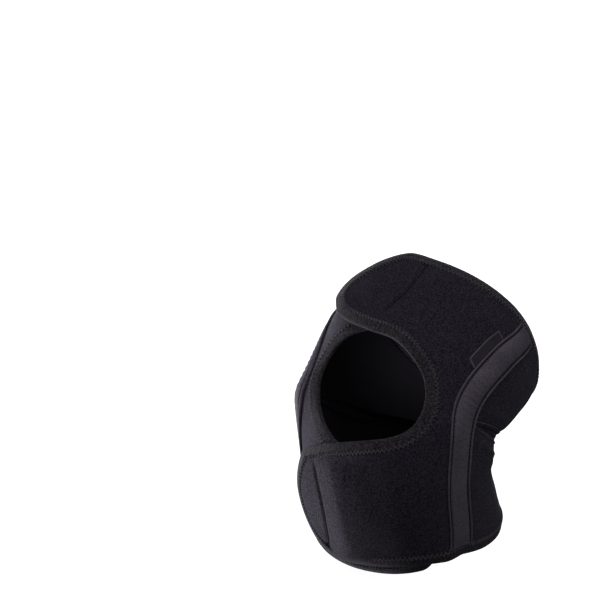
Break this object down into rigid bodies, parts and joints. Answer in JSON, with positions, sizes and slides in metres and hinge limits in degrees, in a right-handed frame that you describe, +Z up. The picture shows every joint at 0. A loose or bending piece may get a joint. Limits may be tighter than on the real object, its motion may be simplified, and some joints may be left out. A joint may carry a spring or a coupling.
{
  "type": "knee support",
  "caption": "Wrap-around knee support of looped foam laminate in its fastened, bent form, with straps closed over the front, an open kneecap window and padded bands along the side seams.",
  "frame": {"origin": "middle of the knee inside the hollow, where the lower and upper tubes meet", "axes": "+Z up, -Y towards the front of the leg, +X towards the side with the tag"},
  "size_m": [0.1555, 0.1729, 0.219],
  "materials": {
    "looped_laminate": "matte looped pile",
    "smooth_knit": "matte",
    "band_tape": "matte brushed",
    "binding_tape": "matte woven",
    "tag_ribbon": "satin ribbon"
  },
  "bodies": {
    "root": {"over_wrap": "looped_laminate", "under_wrap": "looped_laminate", "back_panel": "looped_laminate", "knee_pit_insert": "smooth_knit", "near_stay_band": "band_tape", "far_stay_band": "band_tape", "edge_binding": "binding_tape", "side_tag": "tag_ribbon"}
  },
  "joints": []
}
